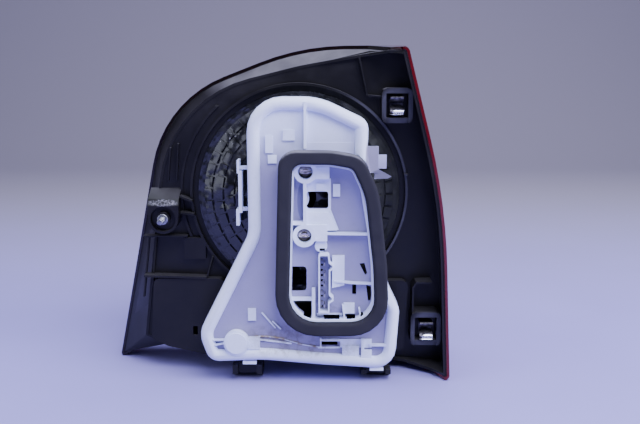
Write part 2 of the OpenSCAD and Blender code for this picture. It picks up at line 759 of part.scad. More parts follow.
earth_run = [[blade_x - 4.4, 47 * kz], [fog_bulb_at[0] - 2, 47 * kz]];

// straight runs of sheet metal along a route
module strip(route, w, y) {
    for (i = [0:len(route) - 2]) {
        a = route[i];
        b = route[i + 1];
        low = [min(a[0], b[0]) - w / 2, min(a[1], b[1]) - w / 2];
        high = [max(a[0], b[0]) + w / 2, max(a[1], b[1]) + w / 2];
        translate([low[0], y[0], low[1]])
            cube([high[0] - low[0], y[1] - y[0], high[1] - low[1]]);
    }
}

module contact(k) {
    route = contact_routes[k];
    color(steel)
        placed() {
            strip(route, 3.6, [plate_front + fit, plate_front + fit + strip_t]);
            translate([route[0][0] - 0.4, plate_back - 9, route[0][1] - 1.4])
                cube([0.8, plate_t + 9.5, 2.8]);
        }
}

module stop_contact() { contact(0); }
module tail_contact() { contact(1); }
module fog_contact() { contact(2); }
module turn_contact() { contact(3); }
module earth_contact() {
    contact(4);
    color(steel)
        placed()
            strip(earth_run, 3.6, [plate_front + fit, plate_front + fit + strip_t]);
}

// Bulbs

module bulb_base(at) {
    y0 = plate_front + strip_t + 2 * fit;
    r = bulb_base_d / 2;
    color(steel)
        placed() {
            spun(at, [[0, y0], [r - 2.4, y0], [r - 1.4, y0 + 1.2], [r, y0 + 1.6], [r, y0 + 17],
                [r - 0.5, y0 + 17], [r - 0.5, y0 + 14], [0, y0 + 14]]);
            translate([at[0] - r - 0.9, y0 + 11, at[1]])
                rotate([0, 90, 0])
                    cylinder(r = 0.9, h = 2 * r + 1.8, $fn = 24);
        }
}

module bulb_glass(at) {
    y0 = plate_front + strip_t + 2 * fit + 14 + fit;
    neck = bulb_base_d / 2 - 0.7;
    r = bulb_glass_d / 2;
    ball = y0 + 3 + r * 0.9;
    outer = [for (a = [-58:14:82]) [r * cos(a), ball + r * sin(a)]];
    inner = [for (k = [len(outer) - 1:-1:0]) let (a = 82 - (len(outer) - 1 - k) * 14)
        [(r - 0.8) * cos(a), ball + (r - 0.8) * sin(a)]];
    color(clear_glass)
        placed()
            spun(at, [[0, y0], [neck, y0], each outer, [0, ball + r], [0, ball + r - 0.8],
                each inner, [neck - 0.8, y0 + 1], [0, y0 + 1]]);
}

module stop_bulb_base() { bulb_base(bowl_at); }
module stop_bulb_glass() { bulb_glass(bowl_at); }
module turn_bulb_base() { bulb_base(turn_bulb_at); }
module turn_bulb_glass() { bulb_glass(turn_bulb_at); }
module fog_bulb_base() { bulb_base(fog_bulb_at); }
module fog_bulb_glass() { bulb_glass(fog_bulb_at); }

// Fixings

module carrier_screw(at) {
    r = screw_head_d / 2;
    top = plate_back - fit;
    color(steel)
        placed()
            difference() {
                spun(at, [[0, top - 4.2], [r * 0.4, top - 4], [r * 0.8, top - 3], [r, top - 1.4], [r, top],
                    [screw_shank_r, top], [screw_shank_r, plate_front + 8], [0, plate_front + 8]]);
                translate([at[0] - r, top - 5, at[1] - 0.8])
                    cube([2 * r, 2.2, 1.6]);
            }
}

module carrier_screw_upper() { carrier_screw(screw_high); }
module carrier_screw_lower() { carrier_screw(screw_low); }

// folded sheet-steel clip that grips a pin of the car body; it stands in its tower's pocket with the
// room that is given at its sides, and below and above it
module pin_clip(at, sides, ends) {
    t = 0.8;
    left = (at[0][0] + pocket_wall) * kx + sides[0];
    foot = (at[1][0] + pocket_end) * kz + ends[0];
    w = (at[0][1] - pocket_wall) * kx - sides[1] - left;
    h = (at[1][1] - pocket_end) * kz - ends[1] - foot;
    color(bright)
        placed()
            translate([left, at[2] + pocket_deep - fit - t, foot]) {
                cube([w, t, h]);
                translate([0, -12, 0])
                    cube([w, 12 + t, t]);
                translate([0, -12, h - t])
                    cube([w, 12 + t, t]);
                translate([2.5, -9, h / 4])
                    cube([t, 9 + t, h / 2]);
                translate([w - 2.5 - t, -9, h / 4])
                    cube([t, 9 + t, h / 2]);
                translate([0, -13.5, -2])
                    cube([w, 1.6, 2 + t]);
            }
}

module clip_upper() { pin_clip(upper_tower, [2.8, 3.2], [4.5, 2.5]); }
module clip_lower() { pin_clip(lower_tower, [4, 2.5], [2.8, 5.2]); }

// stud with a round collar that seats on the bracket's boss
module side_stud() {
    r = stud_d / 2;
    tip = stud_foot_y - collar_t - stud_len;
    color(bright)
        placed()
            spun(stud_at, [[0, tip], [r - 0.8, tip], [r, tip + 1], [r, stud_foot_y - collar_t],
                [r + 2.2, stud_foot_y - collar_t], [r + 2.2, stud_foot_y], [r - 0.5, stud_foot_y],
                [r - 0.5, stud_foot_y + 8], [0, stud_foot_y + 8]]);
}

housing();
outer_lens();
lens_seal();
upper_reflector();
lower_reflector();
inner_bezel();
bulb_carrier();
carrier_gasket();
stop_contact();
tail_contact();
fog_contact();
turn_contact();
earth_contact();
stop_bulb_base();
stop_bulb_glass();
turn_bulb_base();
turn_bulb_glass();
fog_bulb_base();
fog_bulb_glass();
carrier_screw_upper();
carrier_screw_lower();
clip_upper();
clip_lower();
side_stud();
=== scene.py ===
"""Left-hand rear lamp seen from the car-body side: camera, finishes, finer pieces, floor and light."""

import math

import bmesh
import bpy
import numpy as np
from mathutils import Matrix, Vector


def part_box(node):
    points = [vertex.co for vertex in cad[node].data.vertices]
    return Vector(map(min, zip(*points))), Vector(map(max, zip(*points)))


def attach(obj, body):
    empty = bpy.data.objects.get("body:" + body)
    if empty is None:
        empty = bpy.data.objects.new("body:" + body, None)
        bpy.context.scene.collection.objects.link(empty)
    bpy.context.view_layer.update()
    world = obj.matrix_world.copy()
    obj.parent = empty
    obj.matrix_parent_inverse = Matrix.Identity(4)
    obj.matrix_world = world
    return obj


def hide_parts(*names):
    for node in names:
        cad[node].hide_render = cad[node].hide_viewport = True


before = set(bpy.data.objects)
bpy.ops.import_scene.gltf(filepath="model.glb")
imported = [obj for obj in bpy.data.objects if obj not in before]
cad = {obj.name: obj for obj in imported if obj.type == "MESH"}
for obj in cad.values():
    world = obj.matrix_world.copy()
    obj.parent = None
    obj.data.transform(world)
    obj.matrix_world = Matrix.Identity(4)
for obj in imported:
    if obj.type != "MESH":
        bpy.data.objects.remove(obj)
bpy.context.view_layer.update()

# Camera, at the photograph's angle

VIEW_FROM = (0.03687, -0.822, 0.3032)
VIEW_TILT = 80
camera_data = bpy.data.cameras.new("camera")
camera_data.sensor_width = 36.0
camera_data.lens = 47.81
camera = bpy.data.objects.new("camera", camera_data)
camera.location = VIEW_FROM
camera.rotation_euler = (math.radians(VIEW_TILT), 0, 0)
bpy.context.scene.collection.objects.link(camera)
bpy.context.scene.camera = camera

# Levels and places that finishes and pieces share, in metres, read from the solids


def middle_of(node):
    """Middle of a node's box."""
    low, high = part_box(node)
    return (np.array(low) + np.array(high)) / 2


SCREWS = ("carrier_screw_upper", "carrier_screw_lower")
CLIPS = ("clip_upper", "clip_lower")
HEAD_TO_PLATE = 0.0043
PLATE_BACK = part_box(SCREWS[0])[0][1] + HEAD_TO_PLATE
FACE, SEAT = (corner[1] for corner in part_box("carrier_gasket"))
STUD_X, _, STUD_Z = middle_of("side_stud")
BOWL_X, _, BOWL_Z = middle_of("stop_bulb_glass")
BRACKET_EDGE = (STUD_X, -0.0225, STUD_Z + 0.0155)
PADS = [tuple(middle_of(clip) + (0.002, -0.008, 0.0)) for clip in CLIPS]
LIPS = [(middle_of(clip)[0] + 0.002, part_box(clip)[0][1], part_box(clip)[0][2] + 0.0022) for clip in CLIPS]

# Outlines on the carrier's plate, X and Z: the line of the stained rail and the tip under the latch

RAIL = (
    (-0.0210, 0.0467), (-0.0144, 0.0465), (-0.0078, 0.0459), (-0.0011, 0.0448), (0.0055, 0.0430),
    (0.0122, 0.0409), (0.0197, 0.0388), (0.0274, 0.0374), (0.0350, 0.0364), (0.0426, 0.0358),
)
LATCH_TIP = ((0.087, 0.2062), (0.0905, 0.2062), (0.1025, 0.1993), (0.099, 0.1977), (0.087, 0.1973))


# Finishes

CLEAR_IOR = 1.49


class Val:
    """An output socket of a material's node; arithmetic on it adds Math nodes."""

    def __init__(self, paint, socket):
        self.paint = paint
        self.socket = socket

    def _math(self, operation, *values):
        return self.paint.add("ShaderNodeMath", {"operation": operation}, dict(enumerate(values)))

    def __add__(self, other):
        return self._math("ADD", self, other)

    def __sub__(self, other):
        return self._math("SUBTRACT", self, other)

    def __rsub__(self, other):
        return self._math("SUBTRACT", other, self)

    def __mul__(self, other):
        return self._math("MULTIPLY", self, other)

    def __pow__(self, other):
        return self._math("POWER", self, other)

    __radd__ = __add__
    __rmul__ = __mul__

    def step(self, low, high):
        """0 below low, 1 above high and a soft rise between them; the reverse where low is the higher."""
        if low > high:
            return 1 - self.step(high, low)
        settings = {"interpolation_type": "SMOOTHSTEP"}
        sockets = {"Value": self, "From Min": low, "From Max": high}
        return self.paint.add("ShaderNodeMapRange", settings, sockets)

    def band(self, start, full, fading, end):
        """0 below start, 1 from full to fading and 0 above end, with soft slopes between them."""
        return self.step(start, full) * self.step(end, fading)


class Paint:
    """One finish: a Principled shader, its fixed values, and the nodes that vary it."""

    def __init__(self, name, **fixed):
        self.material = bpy.data.materials.new(name)
        self.material.use_nodes = True
        self.tree = self.material.node_tree
        self.shader = self.tree.nodes["Principled BSDF"]
        for key, value in fixed.items():
            name = key.replace("_", " ").title().replace("Ior", "IOR")
            self.shader.inputs[name].default_value = value

    def add(self, kind, settings=None, sockets=None, out=0):
        """A node of any kind, with its settings first and then the values or links of its sockets."""
        node = self.tree.nodes.new(kind)
        for key, value in (settings or {}).items():
            setattr(node, key, value)
        for key, value in (sockets or {}).items():
            if isinstance(value, Val):
                self.tree.links.new(value.socket, node.inputs[key])
            else:
                node.inputs[key].default_value = value
        return Val(self, node.outputs[out])

    def point(self):
        """The point in object coordinates, in metres."""
        return self.add("ShaderNodeTexCoord", out="Object")

    def axis(self, name):
        """X, Y or Z of the point."""
        return self.add("ShaderNodeSeparateXYZ", None, {0: self.point()}, out=name)

    def facing(self, name):
        """X, Y or Z of the surface's normal."""
        normal = self.add("ShaderNodeNewGeometry", out="Normal")
        return self.add("ShaderNodeSeparateXYZ", None, {0: normal}, out=name)

    def noise(self, scale, detail=3.0, roughness=0.5, stretch=(1, 1, 1)):
        """Noise on object coordinates, scale in waves a metre."""
        where = self.add("ShaderNodeMapping", None, {"Vector": self.point(), "Scale": stretch})
        sockets = {"Vector": where, "Scale": scale, "Detail": detail, "Roughness": roughness}
        return self.add("ShaderNodeTexNoise", None, sockets)

    def near(self, centre, size, core=0.35):
        """1 within core of the ellipsoid of the given centre and half sizes, and 0 past it."""
        moved = self.add("ShaderNodeVectorMath", {"operation": "SUBTRACT"}, {0: self.point(), 1: centre})
        scaled = self.add("ShaderNodeVectorMath", {"operation": "DIVIDE"}, {0: moved, 1: size})
        far = self.add("ShaderNodeVectorMath", {"operation": "LENGTH"}, {0: scaled}, out="Value")
        return far.step(1.0, core)

    def mix(self, mask, first, second):
        """Colour that goes from first to second as mask goes from 0 to 1."""
        colours = [c if isinstance(c, Val) else (*c, 1.0) for c in (first, second)]
        sockets = {0: mask, 6: colours[0], 7: colours[1]}
        return self.add("ShaderNodeMix", {"data_type": "RGBA"}, sockets, out=2)

    def put(self, height=None, strength=0.3, distance=0.001, **channels):
        """Links values into the shader's channels, and height through a Bump node into Normal."""
        for key, value in channels.items():
            socket = self.shader.inputs[key.replace("_", " ").title()]
            self.tree.links.new(value.socket, socket)
        if height is not None:
            sockets = {"Height": height, "Strength": strength, "Distance": distance}
            bump = self.add("ShaderNodeBump", None, sockets)
            self.tree.links.new(bump.socket, self.shader.inputs["Normal"])
        return self.material


def toned(colour, factor):
    """A colour made darker or lighter by a factor."""
    return tuple(channel * factor for channel in colour)


def black_moulding():
    """Black moulded plastic: fine grain, dust on what faces up, more of it high on the lamp, a worn edge
    on the stud's bracket with a painted highlight along it, greyer pads round the two clips, and a painted
    highlight along an arc of the round collar's edge."""
    paint = Paint("black_moulding", specular_ior_level=0.28)
    colour, dust = (0.006, 0.0052, 0.006), 0.62
    film = paint.noise(26, 4, 0.6).step(0.35, 0.7)
    specks = paint.noise(700, 2, 0.6).step(0.7, 0.78) * film
    streaks = paint.noise(50, 4, 0.6, (1, 0.3, 0.5)).step(0.3, 0.7)
    height = 0.25 + 0.75 * paint.axis("Z").step(0.16, 0.23)
    settled = paint.facing("Z").step(0.8, 0.96) * height * (0.7 + 0.3 * streaks) * dust
    # Worn edge on the stud's bracket: partly real wear and partly a painted highlight where the edge
    # catches the light.
    worn = paint.near(BRACKET_EDGE, (0.017, 0.004, 0.0045), 0.5)
    scuffs_and_highlight = worn * paint.noise(420, 4, 0.7).step(0.4, 0.66)
    pads = paint.near(PADS[0], (0.021, 0.01, 0.023), 0.7)
    pads += 1.5 * paint.near(PADS[1], (0.021, 0.012, 0.025), 0.7)
    rubbed = pads * (0.55 + 0.45 * film) * dust
    # Painted highlight: a thin bright arc along the round collar's edge, on its fender side, on faces
    # turned towards -Y.
    from_bowl = ((paint.axis("X") - BOWL_X) ** 2 + (paint.axis("Z") - BOWL_Z) ** 2) ** 0.5
    collar = from_bowl.band(0.103, 0.1036, 0.1056, 0.1064) * paint.facing("Y").step(-0.5, -0.8)
    arc = collar * paint.axis("X").step(0.04, 0.09) * (0.5 + 0.5 * film)
    base = paint.mix(film * 0.7 + specks * 0.3, colour, toned(colour, 2.2))
    greyer_and_highlit = paint.mix(rubbed + arc * 0.8, base, (0.085, 0.081, 0.11))
    dusty = paint.mix(settled, greyer_and_highlit, (0.205, 0.19, 0.215))
    return paint.put(
        base_color=paint.mix(scuffs_and_highlight * 0.8, dusty, (0.3, 0.285, 0.34)),
        roughness=0.34 + 0.14 * film + 0.3 * settled,
        height=paint.noise(2200, 2),
        strength=0.1,
        distance=0.0004,
    )


def white_moulding():
    """White moulded plastic: greyer on the plate's face up to Z 0.2 m and whiter elsewhere, painted shade
    on the latch, its tip and the groove, with brown stains low down and fine dust."""
    paint = Paint("white_moulding", specular_ior_level=0.42)
    clouds = paint.noise(16, 4, 0.6).step(0.3, 0.7)
    level = paint.axis("Y") - PLATE_BACK
    # Greyer on the plate's face up to Z 0.2 m, fading out by 0.256 m; whiter on what stands off the plate.
    plate_face_mask = level.band(-0.0016, -0.0002, 0.0022, 0.0032) * paint.axis("Z").step(0.256, 0.2)
    main_white = paint.mix(clouds, (0.76, 0.81, 1.0), (0.71, 0.755, 0.98))
    plate = paint.mix(clouds, (0.33, 0.305, 0.49), (0.295, 0.27, 0.44))
    base = paint.mix(plate_face_mask, main_white, plate)

    # Painted shade: the latch block, the tip under it and the groove are coloured darker.
    latch = paint.near((0.0855, PLATE_BACK, 0.215), (0.012, 0.01, 0.022), 0.7)
    latch *= paint.axis("X").band(0.0775, 0.0795, 0.0898, 0.0908) * paint.axis("Z").step(0.2036, 0.2044)
    tip = paint.near((0.095, PLATE_BACK, 0.2015), (0.013, 0.01, 0.0052), 0.8)
    groove = paint.near((0.0216, PLATE_BACK + 0.0014, 0.1765), (0.0062, 0.0016, 0.021), 0.85)
    darker = paint.mix(tip * 0.9, paint.mix(latch, base, (0.26, 0.24, 0.35)), (0.14, 0.13, 0.2))
    shaded = paint.mix(groove * 0.8, darker, (0.15, 0.14, 0.27))

    grime = paint.noise(110, 5, 0.7)
    specks = paint.noise(300, 4, 0.7).step(0.54, 0.74)
    low_rail = paint.near((0.0, PLATE_BACK, 0.0495), (0.048, 0.02, 0.0125)) * grime.step(0.34, 0.7)
    low_edge = paint.near((0.02, PLATE_BACK, 0.036), (0.085, 0.02, 0.012)) * grime.step(0.46, 0.62)
    tub_floor = paint.near((0.045, PLATE_BACK, 0.066), (0.04, 0.012, 0.016)) * grime.step(0.47, 0.62)
    dirt = low_rail * 0.6 + low_edge * 0.4 + tub_floor * 0.35 + specks * 0.1
    along_rail = sum(
        paint.near((x, PLATE_BACK - 0.001, z), (0.007, 0.002, 0.0021), 0.6) for x, z in RAIL[:-1]
    )
    line = along_rail * paint.noise(170, 3, 0.6).step(0.4, 0.56)
    stained = paint.mix(dirt, shaded, (0.13, 0.1, 0.08))
    return paint.put(
        base_color=paint.mix(line * 0.6, stained, (0.3, 0.22, 0.14)),
        roughness=0.4 + 0.12 * clouds + 0.2 * low_rail,
        height=paint.noise(1500, 2) + 0.6 * paint.noise(60, 2),
        strength=0.07,
        distance=0.0005,
    )


def foam():
    """Closed-cell foam: dark grey, matt, with fine cells, and greyer where it faces up."""
    paint = Paint("foam", specular_ior_level=0.2)
    cells = paint.noise(1500, 3, 0.6)
    pale = paint.facing("Z").step(0.3, 0.95) * (0.6 + 0.4 * paint.noise(60, 3).step(0.3, 0.7))
    pale *= paint.axis("Z").step(0.15, 0.2)
    grey = paint.mix(paint.noise(45, 4, 0.6), (0.017, 0.0155, 0.022), (0.028, 0.0255, 0.035))
    return paint.put(
        base_color=paint.mix(pale * 0.8, grey, (0.2, 0.19, 0.22)),
        roughness=0.85 + 0.1 * cells,
        height=cells,
        strength=0.4,
        distance=0.0006,
    )


def metal(name, colour, roughness, worn):
    """Plated sheet or bar: brushed along X, with darker worn patches."""
    paint = Paint(name, metallic=1.0)
    brushed = paint.noise(900, 2, 0.5, (0.05, 1, 1))
    patches = paint.noise(180, 4, 0.65).step(0.4, 0.7)
    return paint.put(
        base_color=paint.mix(patches, colour, toned(colour, worn)),
        roughness=roughness + 0.12 * patches + 0.1 * brushed,
        height=brushed,
        strength=0.08,
        distance=0.0002,
    )


def clip_steel():
    """Spring steel of the pin clips: dull and brownish, with a painted highlight, bright and smoother, on
    each lip.
    """
    paint = Paint("clip_steel", metallic=1.0)
    # Painted highlight on the rolled lip of each clip.
    lip_highlight = sum(paint.near(lip, (0.0075, 0.007, 0.0042), 0.7) for lip in LIPS)
    patches = paint.noise(240, 4, 0.65).step(0.35, 0.65)
    dull = paint.mix(patches, (0.05, 0.046, 0.056), (0.2, 0.185, 0.2))
    return paint.put(
        base_color=paint.mix(lip_highlight, dull, (0.8, 0.8, 0.88)),
        roughness=0.5 - 0.36 * lip_highlight,
        height=paint.noise(500, 3),
        strength=0.15,
        distance=0.0004,
    )


def screw_steel():
    """Plated screw heads with a painted reflection: a bright band across the middle, warm above it, dark
    below.
    """
    paint = Paint("screw_steel", metallic=1.0)
    high, low = 0, 0
    # Painted reflection: each head is warm above its middle band and dark below it.
    for screw in SCREWS:
        above = paint.axis("Z") - middle_of(screw)[2]
        high += above.band(0.0012, 0.003, 0.019, 0.02)
        low += above.band(-0.02, -0.019, -0.0026, -0.0006)
    patches = paint.noise(300, 3, 0.6).step(0.4, 0.7)
    bright = paint.mix(patches, (0.78, 0.72, 0.68), (0.6, 0.54, 0.5))
    warm = paint.mix(high, bright, (0.36, 0.31, 0.25))
    return paint.put(
        base_color=paint.mix(low, warm, (0.07, 0.06, 0.055)),
        roughness=0.12 + 0.2 * low + 0.08 * patches,
        height=paint.noise(800, 2),
        strength=0.05,
        distance=0.0002,
    )


def facet_back():
    """Black back of the round reflector: glossy facet blocks, each a little uneven, so that single
    blocks catch the light, with pale specks on the left, and matt on the fender side."""
    paint = Paint("dark_reflector_back", specular_ior_level=0.6)
    film = paint.noise(60, 3, 0.6).step(0.4, 0.66)
    matt = paint.axis("X").step(0.045, 0.085)
    left = paint.near((-0.045, -0.005, 0.232), (0.022, 0.03, 0.014), 0.4)
    specks = paint.noise(420, 3, 0.6).step(0.64, 0.7) * left
    base = paint.mix(film, (0.0045, 0.0045, 0.006), (0.016, 0.015, 0.021))
    dark = paint.mix(matt, base, (0.0015, 0.0015, 0.002))
    return paint.put(
        base_color=paint.mix(specks * 0.8, dark, (0.3, 0.29, 0.3)),
        roughness=0.16 + 0.16 * film + 0.5 * matt,
        height=paint.noise(75, 1),
        strength=0.6,
        distance=0.005,
    )


def polished(paint, waves, colour, roughness):
    """Finishes a clear paint as a polished surface with faint unevenness."""
    return paint.put(
        base_color=colour,
        roughness=roughness + 0.03 * waves,
        height=waves,
        strength=0.02,
        distance=0.001,
    )


def clear(name, colour, roughness):
    """Clear or tinted glass."""
    paint = Paint(name, ior=CLEAR_IOR, transmission_weight=1.0)
    waves = paint.noise(35, 2)
    return polished(paint, waves, paint.mix(waves, colour, toned(colour, 0.92)), roughness)


def red_lens():
    """Red tail-light plastic: bright at the near edge of the right flank, deeper on the front, and
    nearly black at the edge along the top and the left side, with painted shade on its inner face,
    nearly black, for the dark chamber behind it."""
    paint = Paint("red_lens", ior=CLEAR_IOR, transmission_weight=0.7)
    waves = paint.noise(35, 2)
    deep = paint.axis("Y").step(0.03, 0.05)
    # Painted shade: faces deep in the lamp whose normal points towards -Y, into the chamber, are made
    # nearly black.
    inner = deep * paint.facing("Y").step(-0.2, -0.5)
    edge = paint.axis("X").step(0.124, 0.098) * paint.axis("Y").step(0.05, 0.035)
    flank = paint.mix(waves, (0.3, 0.006, 0.02), (0.27, 0.005, 0.018))
    front = paint.mix(deep, flank, (0.36, 0.006, 0.016))
    shaded = paint.mix(inner, front, (0.004, 0.0015, 0.002))
    return polished(paint, waves, paint.mix(edge, shaded, (0.012, 0.001, 0.003)), 0.05)


def satin(name, colour, roughness):
    """Painted satin surface with fine grain."""
    paint = Paint(name)
    grain = paint.noise(700, 3)
    return paint.put(
        base_color=paint.mix(grain, colour, toned(colour, 0.85)),
        roughness=roughness + 0.1 * grain,
        height=grain,
        strength=0.05,
        distance=0.0003,
    )


finish = {
    "housing": black_moulding(),
    "outer_lens": red_lens(),
    "lens_seal": satin("glue_line", (0.03, 0.03, 0.034), 0.6),
    "upper_reflector": facet_back(),
    "lower_reflector": metal("bright_coat", (0.86, 0.86, 0.88), 0.08, 0.9),
    "inner_bezel": satin("bezel_grey", (0.12, 0.12, 0.13), 0.35),
    "bulb_carrier": white_moulding(),
    "carrier_gasket": foam(),
    "side_stud": metal("dark_stud", (0.3, 0.3, 0.33), 0.3, 0.5),
    "stop_bulb_glass": clear("bulb_glass", (0.93, 0.95, 0.96), 0.0),
    "turn_bulb_glass": clear("amber_glass", (0.95, 0.45, 0.06), 0.02),
}
finish["fog_bulb_glass"] = finish["stop_bulb_glass"]
finish.update(dict.fromkeys(SCREWS, screw_steel()))
finish.update(dict.fromkeys(CLIPS, clip_steel()))
tinned = metal("tinned_strip", (0.62, 0.6, 0.56), 0.3, 0.7)
for lead in ("stop", "tail", "fog", "turn", "earth"):
    finish[lead + "_contact"] = tinned
nickel = metal("nickelled_base", (0.66, 0.62, 0.54), 0.25, 0.7)
for bulb in ("stop", "turn", "fog"):
    finish[bulb + "_bulb_base"] = nickel


def coat(thing, material):
    """Gives an object one finish."""
    thing.data.materials.clear()
    thing.data.materials.append(material)


for node, material in finish.items():
    coat(cad[node], material)


# Pieces


def merged(node):
    """A solid's mesh for editing, with its loose triangles joined."""
    work = bmesh.new()
    work.from_mesh(cad[node].data)
    bmesh.ops.remove_doubles(work, verts=work.verts, dist=2e-6)
    return work


def place(name, mesh, node, angle, instead=True):
    """Puts a mesh in the scene with a CAD node's finish, instead of that node or beside it. Edges
    sharper than the angle, in degrees, stay hard."""
    piece = bpy.data.objects.new(name, mesh)
    bpy.context.scene.collection.objects.link(piece)
    coat(piece, finish[node])
    mesh.shade_smooth()
    mesh.set_sharp_from_angle(angle=math.radians(angle))
    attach(piece, "root")
    if instead:
        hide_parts(node)
    return piece


def eased(node, width, angle=32):
    """Copy of a solid, merged, with its edges eased by a narrow bevel."""
    mesh = cad[node].data.copy()
    mesh.name = node + "_eased"
    work = merged(node)
    bmesh.ops.dissolve_limit(work, angle_limit=math.radians(1.0), verts=work.verts, edges=work.edges)
    work.to_mesh(mesh)
    work.free()
    piece = place(node + "_eased", mesh, node, angle)
    bevel = piece.modifiers.new("eased_edges", "BEVEL")
    bevel.width = width
    bevel.segments = 2
    bevel.limit_method = "ANGLE"
    bevel.angle_limit = math.radians(angle)
    bevel.harden_normals = True
    bevel.use_clamp_overlap = True


def closed_grid(name, parts):
    """Mesh of closed surfaces, each given as an array of rows, points and X, Y, Z, and whether it has ends.

    Each row of points is a closed loop. Without ends the last row joins the first, as on a ring;
    with ends the first and the last row are each closed by a fan to the row's middle."""
    points, faces, start = [], [], 0
    for rows, ends in parts:
        m, n = rows.shape[:2]
        i, j = np.meshgrid(np.arange(m - 1 if ends else m), np.arange(n), indexing="ij")
        after_i, after_j = (i + 1) % m, (j + 1) % n
        quads = np.stack([i * n + j, after_i * n + j, after_i * n + after_j, i * n + after_j], -1)
        faces += (quads.reshape(-1, 4) + start).tolist()
        points.append(rows.reshape(-1, 3))
        size = m * n
        if ends:
            points.append(np.stack([rows[0].mean(0), rows[-1].mean(0)]))
            ring = np.arange(n)
            turn = np.roll(ring, -1)
            first = np.stack([np.full(n, size), ring, turn], -1)
            last = np.stack([np.full(n, size + 1), turn + (m - 1) * n, ring + (m - 1) * n], -1)
            faces += (np.concatenate([first, last]) + start).tolist()
            size += 2
        start += size
    mesh = bpy.data.meshes.new(name)
    mesh.from_pydata(np.concatenate(points).tolist(), [], faces)
    mesh.validate()
    work = bmesh.new()
    work.from_mesh(mesh)
    bmesh.ops.recalc_face_normals(work, faces=work.faces)
    work.to_mesh(mesh)
    work.free()
    return mesh


def outlines(node, level):
    """Closed outlines of a node's flat face at a level along Y, as arrays of X and Z, the longest first."""
    work = merged(node)
    flat = {f for f in work.faces if abs(f.normal.y) > 0.99 and abs(f.verts[0].co.y - level) < 1e-5}
    beside = {}
    for edge in work.edges:
        if sum(face in flat for face in edge.link_faces) == 1:
            for one, other in (edge.verts, reversed(edge.verts)):
                beside.setdefault(one, []).append(other)
    found = []
    while beside:
        here = next(iter(beside))
        row = []
        while here in beside:
            row.append((here.co.x, here.co.z))
            ahead = [v for v in beside.pop(here) if v in beside]
            here = ahead[0] if ahead else None
        found.append(np.array(row))
    work.free()
    return sorted(found, key=lambda row: -np.ptp(row, axis=0).sum())


def crossing(a, b):
    """Cross product of flat vectors: first of a times second of b, less second of a times first of b."""
    return a[..., 0] * b[..., 1] - a[..., 1] * b[..., 0]


def reach(outline, centre, angles):
    """Distance from centre to a closed outline in each direction: the nearest crossing of each ray."""
    a = outline - centre
    side = np.roll(a, -1, 0) - a
    way = np.stack([np.cos(angles), np.sin(angles)], -1)[:, None]
    along = crossing(a, side) / crossing(way, side)
    share = crossing(a, way) / crossing(way, side)
    hit = (share >= -1e-6) & (share <= 1 + 1e-6) & (along > 0)
    return np.where(hit, along, np.inf).min(1)


def foam_ring():
    """The gasket: a soft ring whose front edges are rounded and whose outer side swells a little.

    Each station has its inner and outer point on one ray from the middle of the ring. The section
    between them is a row of points in shares of the width and depths from the face. A slow wave
    along the ring moves the face by a few tenths of a millimetre, as worn foam does."""
    clearance, edge, swell, wear = 0.0006, 0.0028, 0.0005, 0.0006
    outer, inner = outlines("carrier_gasket", SEAT)[:2]
    centre = (outer.max(0) + outer.min(0)) / 2
    angles = np.linspace(0, 2 * np.pi, 640, endpoint=False)
    near, far = reach(inner, centre, angles) + clearance, reach(outer, centre, angles)
    width = (far - near)[:, None]
    depth = SEAT - FACE

    turn = np.radians(np.linspace(0, 90, 7))
    sides = np.linspace(1, 0.25, 6)[:-1]
    rounding = edge * (1 - np.cos(turn))
    inside = np.concatenate([0 * sides, rounding]) / width.mean()
    outside = np.concatenate([-swell * np.sin(np.pi * sides), rounding]) / width.mean()
    fall = np.concatenate([depth * sides, edge * (1 - np.sin(turn))])
    across = np.concatenate([inside, [0.36, 0.5, 0.64], 1 - outside[::-1]])
    deep = np.concatenate([fall, [0.0, 0.0, 0.0], fall[::-1]])

    wave = 0.5 + 0.5 * np.sin(angles * 5 + 1.3) * np.sin(angles * 11 + 0.4)
    sag = wear * wave[:, None] * (1 - deep / depth) ** 2
    radius = near[:, None] + across * width
    x = centre[0] + radius * np.cos(angles)[:, None]
    z = centre[1] + radius * np.sin(angles)[:, None]
    y = FACE + deep + sag
    mesh = closed_grid("foam_ring", [(np.stack([x, y, z], -1), False)])
    place("foam_ring", mesh, "carrier_gasket", 60)


def lathe(profile, middle, turns, ripple):
    """Closed surface round an axis along Y: each radius and level of the profile is carried round the
    middle's X and Z, and ripple adds to the radius at each angle and level."""
    angles = np.linspace(0, 2 * np.pi, turns, endpoint=False)
    radius, level = np.array(profile).T[..., None]
    radius = radius + ripple(angles, level)
    x = middle[0] + radius * np.cos(angles)
    z = middle[1] + radius * np.sin(angles)
    return np.stack([x, np.broadcast_to(level, x.shape), z], -1)


